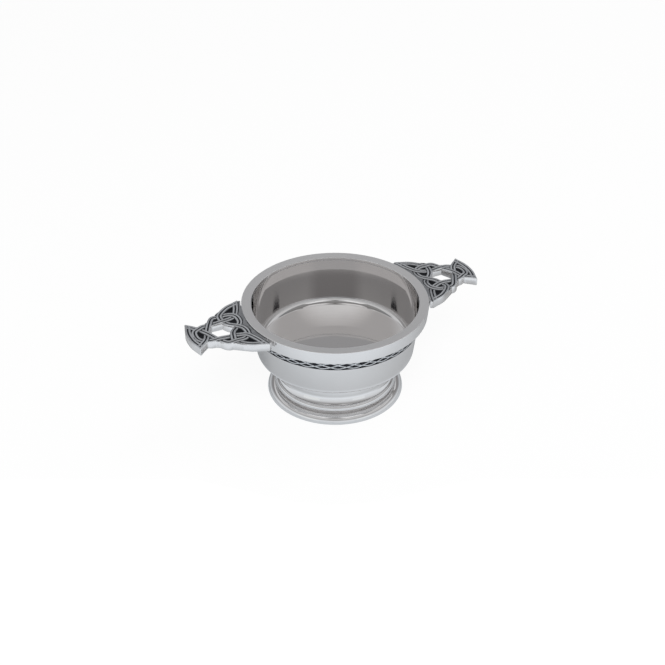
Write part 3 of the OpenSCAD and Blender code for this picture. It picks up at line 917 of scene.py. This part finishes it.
# The way along the table from the cup to the place that the photograph was taken from.
FRONT = (-0.423, -0.906)
SQUARE = ((-1, -1), (1, -1), (1, 1), (-1, 1))


def colour_ramp(tree, value, low, high, stops):
    """Output of a ramp over a range of a value. Each stop is a value and a tone."""
    share = add_node(tree, "ShaderNodeMapRange", {"Value": value, "From Min": low, "From Max": high})
    ramp = add_node(tree, "ShaderNodeValToRGB", {0: share.outputs[0]})
    while len(ramp.color_ramp.elements) < len(stops):
        ramp.color_ramp.elements.new(0.5)
    for element, (at, tone) in zip(ramp.color_ramp.elements, stops):
        element.position = (at - low) / (high - low)
        element.color = opaque(tone)
    return ramp.outputs[0]


def light_room(scene):
    """A white room with a dim middle overhead, and a soft light on the paper."""
    # The rise of a direction is its height at a distance of 1, so 1 is straight overhead.
    ramp_low, lit_to, dim_from, ramp_high = 0.7, 0.84, 0.87, 1
    lit, dim, soft_strength = (1, 1, 1), (0.3, 0.3, 0.3), 0.45
    world = bpy.data.worlds.new("white_room")
    scene.world = world
    world.use_nodes = True
    tree = world.node_tree
    tree.nodes.clear()
    soft = add_node(tree, "ShaderNodeBackground", {"Color": opaque(lit), "Strength": soft_strength})
    up = add_node(tree, "ShaderNodeTexCoord").outputs["Generated"]
    rise = add_node(tree, "ShaderNodeSeparateXYZ", {0: up}).outputs[2]
    tone = colour_ramp(tree, rise, ramp_low, ramp_high, ((lit_to, lit), (dim_from, dim)))
    white = add_node(tree, "ShaderNodeBackground", {"Color": tone, "Strength": 1})
    both = add_node(tree, "ShaderNodeMixShader", {
        0: seen_ray(tree), 1: soft.outputs[0], 2: white.outputs[0]})
    add_node(tree, "ShaderNodeOutputWorld", {"Surface": both.outputs[0]})


def set_sheet(context, name, points, faces, material):
    """Puts one sheet of the studio in its place."""
    mesh = bpy.data.meshes.new(name)
    mesh.from_pydata(points, [], faces)
    mesh.materials.append(material)
    sheet = bpy.data.objects.new(name, mesh)
    context.scene.collection.objects.link(sheet)
    return sheet


def show_to_metal(sheet):
    """Leaves a sheet to be seen by the metal only. It throws no shadow and no light on the paper."""
    sheet.visible_camera = False
    sheet.visible_diffuse = False
    sheet.visible_shadow = False


def lay_paper(context):
    """White paper under the cup, bright enough to meet the room, with the cup's soft shadow on it."""
    reach, drop, painted_light_reach, painted_light_most = 3, 0.1 * MM, 80 * MM, 1.26
    camera_glow, mirror_glow = 0.92, 0.6
    plain, bluish = (1, 1, 1), (0.83, 0.915, 1)
    material, tree = start_material("matt_paper_white_painted_light")
    matt = add_node(tree, "ShaderNodeBsdfDiffuse", {"Color": opaque(context.scene.quaich_colours.paper)})
    # The eye sees the paper nearly white. The metal sees light and shade painted on it: slightly blue, with a
    # painted pool of light to the front, painted light by the foot, a painted shade of the bowl further out,
    # and paler again past it.
    painted_shade_mm = ((42, 0.88), (55, 0.58), (80, 0.74), (95, 0.84))
    painted_shade_reach = 100 * MM
    path = add_node(tree, "ShaderNodeLightPath").outputs
    place = add_node(tree, "ShaderNodeTexCoord").outputs["Object"]
    front = add_node(tree, "ShaderNodeVectorMath", {0: place, 1: (*FRONT, 0)}, operation="DOT_PRODUCT")
    # Painted pool of light: the glow that the metal sees rises towards the front.
    lit = add_node(tree, "ShaderNodeMapRange", {
        "Value": front.outputs["Value"], "From Min": -painted_light_reach, "From Max": painted_light_reach, "To Max": painted_light_most})
    away = add_node(tree, "ShaderNodeVectorMath", {0: place}, operation="LENGTH").outputs["Value"]
    # Painted light by the foot and painted shade of the bowl, by distance from the axis.
    clear = colour_ramp(tree, away, 0, painted_shade_reach, [(at * MM, (tone, tone, tone)) for at, tone in painted_shade_mm])
    glow = add_node(tree, "ShaderNodeMath", {0: lit.outputs[0], 1: clear}, operation="MULTIPLY")
    tint = blend(tree, path["Is Camera Ray"], opaque(bluish), opaque(plain))
    level = add_node(tree, "ShaderNodeMath", {
        0: glow.outputs[0], 1: path["Is Camera Ray"]}, operation="MAXIMUM")
    white = add_node(tree, "ShaderNodeEmission", {"Color": tint, "Strength": level.outputs[0]})
    camera = add_node(tree, "ShaderNodeMath", {
        0: path["Is Camera Ray"], 1: camera_glow}, operation="MULTIPLY")
    mirrored = add_node(tree, "ShaderNodeMath", {
        0: path["Is Glossy Ray"], 1: path["Is Transmission Ray"]}, operation="ADD", use_clamp=True)
    share = add_node(tree, "ShaderNodeMath", {
        0: mirrored.outputs[0], 1: mirror_glow, 2: camera.outputs[0]}, operation="MULTIPLY_ADD")
    both = add_node(tree, "ShaderNodeMixShader", {
        0: share.outputs[0], 1: matt.outputs[0], 2: white.outputs[0]})
    add_node(tree, "ShaderNodeOutputMaterial", {"Surface": both.outputs[0]})
    set_sheet(context, "paper", [(x * reach, y * reach, -drop) for x, y in SQUARE], [(0, 1, 2, 3)], material)


def hang_curtain(context):
    """A grey curtain round the studio, a glowing sheet with the room's light and shade painted on it. Only
    the metal shows it, as painted reflections: the dark bands that polish needs.
    """
    radius, low, high, around = 1.6, 0, 2.8, 96
    behind_to, before_from = -0.7 * radius, -0.2 * radius
    points, faces = [], []
    for k in range(around):
        t = 2 * math.pi * k / around
        points += [(radius * math.cos(t), radius * math.sin(t), z) for z in (low, high)]
        a, b = 2 * k, 2 * ((k + 1) % around)
        faces.append((a, b, b + 1, a + 1))
    material, tree = start_material("grey_curtain_glowing_painted_light")
    place = add_node(tree, "ShaderNodeTexCoord").outputs["Object"]
    # Painted light and shade: the glowing cloth is grey and paler towards the table, most of all before the
    # cup. A painted lit wall shows above it, with a brighter strip under the dim ceiling. Each stop is a
    # height in metres and a tone.
    height = add_node(tree, "ShaderNodeSeparateXYZ", {0: place}).outputs[2]
    before = colour_ramp(tree, height, low, high, (
        (0, (0.87, 0.915, 0.96)), (0.4, (0.81, 0.845, 0.88)), (0.62, (0.68, 0.7, 0.725)),
        (0.85, (0.44, 0.445, 0.45)), (1.11, (0.38, 0.385, 0.395)), (1.17, (0.805, 0.815, 0.83)),
        (1.3, (0.785, 0.795, 0.81)), (1.5, (0.58, 0.58, 0.585)), (1.87, (0.58, 0.58, 0.585)),
        (1.93, (0.707, 0.707, 0.71)), (2.06, (0.965, 0.98, 0.995)), (2.18, (0.96, 0.98, 1)),
        (2.3, (0.29, 0.3, 0.31))))
    behind = colour_ramp(tree, height, low, high, (
        (0, (0.67, 0.71, 0.75)), (0.35, (0.535, 0.56, 0.59)), (0.62, (0.35, 0.36, 0.378)),
        (0.8, (0.28, 0.28, 0.287)), (1.1, (0.31, 0.31, 0.317)), (1.14, (0.39, 0.392, 0.4)),
        (1.19, (0.715, 0.73, 0.75)), (1.9, (0.685, 0.7, 0.72)), (2.3, (0.29, 0.3, 0.31))))
    side = add_node(tree, "ShaderNodeVectorMath", {0: place, 1: (*FRONT, 0)}, operation="DOT_PRODUCT")
    turn = add_node(tree, "ShaderNodeMapRange", {
        "Value": side.outputs["Value"], "From Min": behind_to, "From Max": before_from})
    tone = blend(tree, turn.outputs[0], behind, before)
    glow = add_node(tree, "ShaderNodeEmission", {"Color": tone, "Strength": 1})
    add_node(tree, "ShaderNodeOutputMaterial", {"Surface": glow.outputs[0]})
    show_to_metal(set_sheet(context, "curtain", points, faces, material))


def stand_card(context, name, turn, rise, distance, width, height, tone):
    """A card that faces the cup and glows with its tone, and that only the metal shows, as a painted
    reflection: an even patch of its tone.

    Its angles are in degrees from the front and from the table, and its sizes are in metres.
    """
    away = Vector((*FRONT, 0)).normalized()
    away.rotate(Euler((0, 0, math.radians(turn))))
    across = Vector((-away.y, away.x, 0))
    towards = away * math.cos(math.radians(rise)) + Vector((0, 0, math.sin(math.radians(rise))))
    up = towards.cross(across)
    points = [towards * distance + across * width * s / 2 + up * height * t / 2 for s, t in SQUARE]
    material, tree = start_material(f"{name}_painted")
    glow = add_node(tree, "ShaderNodeEmission", {"Color": opaque(tone), "Strength": 1})
    add_node(tree, "ShaderNodeOutputMaterial", {"Surface": glow.outputs[0]})
    show_to_metal(set_sheet(context, name, points, [(0, 1, 2, 3)], material))


def hang_lamp(context, name, place, size, power):
    """A soft box that faces the cup."""
    lamp = bpy.data.lights.new(name, "AREA")
    lamp.shape = "SQUARE"
    lamp.size = size
    lamp.energy = power
    holder = bpy.data.objects.new(name, lamp)
    holder.location = place
    holder.rotation_euler = (-Vector(place)).to_track_quat("-Z", "Y").to_euler()
    holder.visible_camera = False
    holder.visible_glossy = False
    context.scene.collection.objects.link(holder)


def stand_camera(context):
    """The camera where the photograph was taken from."""
    turn, rise = math.radians(-25.03), math.radians(33.86)
    distance, focus_px, sensor_mm = 580.2 * MM, 1204, 36
    look_under_lip, look_left = 18.745 * MM, 1.28 * MM
    look = Vector((0, 0, context.scene.quaich_sizes.height - look_under_lip))
    look -= Vector((math.cos(turn), math.sin(turn), 0)) * look_left
    back = Vector((math.sin(turn) * math.cos(rise), -math.cos(turn) * math.cos(rise), math.sin(rise)))
    lens = bpy.data.cameras.new("camera")
    lens.sensor_width = sensor_mm
    lens.lens = sensor_mm * focus_px / PICTURE_SIDE
    lens.clip_start, lens.clip_end = 0.01, 20
    camera = bpy.data.objects.new("camera", lens)
    camera.location = look + back * distance
    camera.rotation_euler = (-back).to_track_quat("-Z", "Y").to_euler()
    context.scene.collection.objects.link(camera)
    context.scene.camera = camera


class QUAICH_OT_studio(bpy.types.Operator):
    """Plain studio: white paper, a white room, two soft boxes and the camera. The metal also shows glowing
    sheets as painted reflections:
    a grey curtain, white cards that paint highlights and a dark slot that paints the lens's reflection"""

    bl_idname = "quaich.studio"
    bl_label = "Studio"

    def execute(self, context):
        light_room(context.scene)
        lay_paper(context)
        hang_curtain(context)
        # The white cards glow to paint highlights on the metal, and the lens slot paints the dark reflection
        # of the lens.
        # Each card has its turn, rise, distance, width, height and tone.
        cards = {
            "left_white_card": (-45, 8.9, 1.417, 0.8, 0.4, (0.94, 0.98, 1)),
            "right_white_card": (45, 8.9, 1.417, 0.6, 0.4, (0.92, 0.965, 1)),
            "left_top_card": (-45, 68, 1.5, 0.6, 0.5, (0.97, 0.98, 1)),
            "right_top_card": (45, 68, 1.5, 0.6, 0.5, (0.97, 0.98, 1)),
            "lens_slot": (0, 34.1, 0.64, 0.24, 0.034, (0.03, 0.03, 0.035))}
        for name, card in cards.items():
            stand_card(context, name, *card)
        # Each lamp has its place and size in metres and its power in watts.
        lamps = {"key_box": ((-0.46, -0.99, 1.3), 0.8, 18), "fill_box": ((0.95, 0.1, 1.2), 0.7, 4)}
        for name, lamp in lamps.items():
            hang_lamp(context, name, *lamp)
        stand_camera(context)
        context.scene.view_settings.view_transform = "Standard"
        return {"FINISHED"}


OPERATORS = (QUAICH_OT_bowl, QUAICH_OT_collar, QUAICH_OT_band, QUAICH_OT_foot, QUAICH_OT_base,
             QUAICH_OT_handles, QUAICH_OT_solder, QUAICH_OT_studio)


class QUAICH_PT_panel(bpy.types.Panel):
    """Lists the pieces and their sizes and colours"""

    bl_idname = "QUAICH_PT_panel"
    bl_label = "Quaich"
    bl_space_type = "VIEW_3D"
    bl_region_type = "UI"
    bl_category = "Quaich"

    def draw(self, context):
        for operator in OPERATORS:
            self.layout.operator(operator.bl_idname)
        for group in (context.scene.quaich_sizes, context.scene.quaich_colours):
            column = self.layout.column()
            for name in group.__annotations__:
                column.prop(group, name)


CLASSES = (QuaichSizes, QuaichColours, *OPERATORS, QUAICH_PT_panel)


def register():
    for entry in CLASSES:
        bpy.utils.register_class(entry)
    bpy.types.Scene.quaich_sizes = PointerProperty(type=QuaichSizes)
    bpy.types.Scene.quaich_colours = PointerProperty(type=QuaichColours)


def unregister():
    del bpy.types.Scene.quaich_colours
    del bpy.types.Scene.quaich_sizes
    for entry in reversed(CLASSES):
        bpy.utils.unregister_class(entry)


def main():
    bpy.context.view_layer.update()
    register()
    bpy.ops.quaich.bowl()
    bpy.ops.quaich.collar()
    bpy.ops.quaich.band()
    bpy.ops.quaich.foot()
    bpy.ops.quaich.base()
    bpy.ops.quaich.handles()
    bpy.ops.quaich.solder()
    bpy.ops.quaich.studio()


if __name__ == "__main__":
    main()
